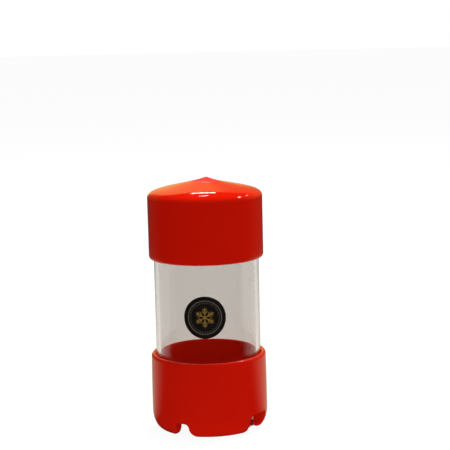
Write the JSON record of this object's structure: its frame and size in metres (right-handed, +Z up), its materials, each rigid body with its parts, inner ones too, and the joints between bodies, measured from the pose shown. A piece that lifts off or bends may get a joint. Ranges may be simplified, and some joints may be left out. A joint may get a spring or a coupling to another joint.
{
  "type": "clear cylindrical container with push-on caps",
  "caption": "Clear round plastic tube standing in a thick red foot cup with notched feet, closed by a red push-on cap with a conical roof.",
  "frame": {"origin": "centre of the foot circle, on the surface that the feet stand on", "axes": "+Z up along the tube's axis, -Y towards the label"},
  "size_m": [0.0552, 0.0552, 0.1208],
  "materials": {
    "red_vinyl": "glossy soft plastic, evenly coloured",
    "clear_plastic": "polished transparent plastic",
    "label_print": "satin printed film"
  },
  "bodies": {
    "foot": {"base_cup": "red_vinyl"},
    "tube": {"clear_tube": "clear_plastic", "round_label": "label_print"},
    "cap": {"top_cap": "red_vinyl"}
  },
  "joints": [
    {"name": "tube_lift", "type": "slide", "parent": "foot", "child": "tube", "axis": [0, 0, 1], "range_m": [0, 0.03]},
    {"name": "cap_lift", "type": "slide", "parent": "tube", "child": "cap", "axis": [0, 0, 1], "range_m": [0, 0.035]}
  ]
}
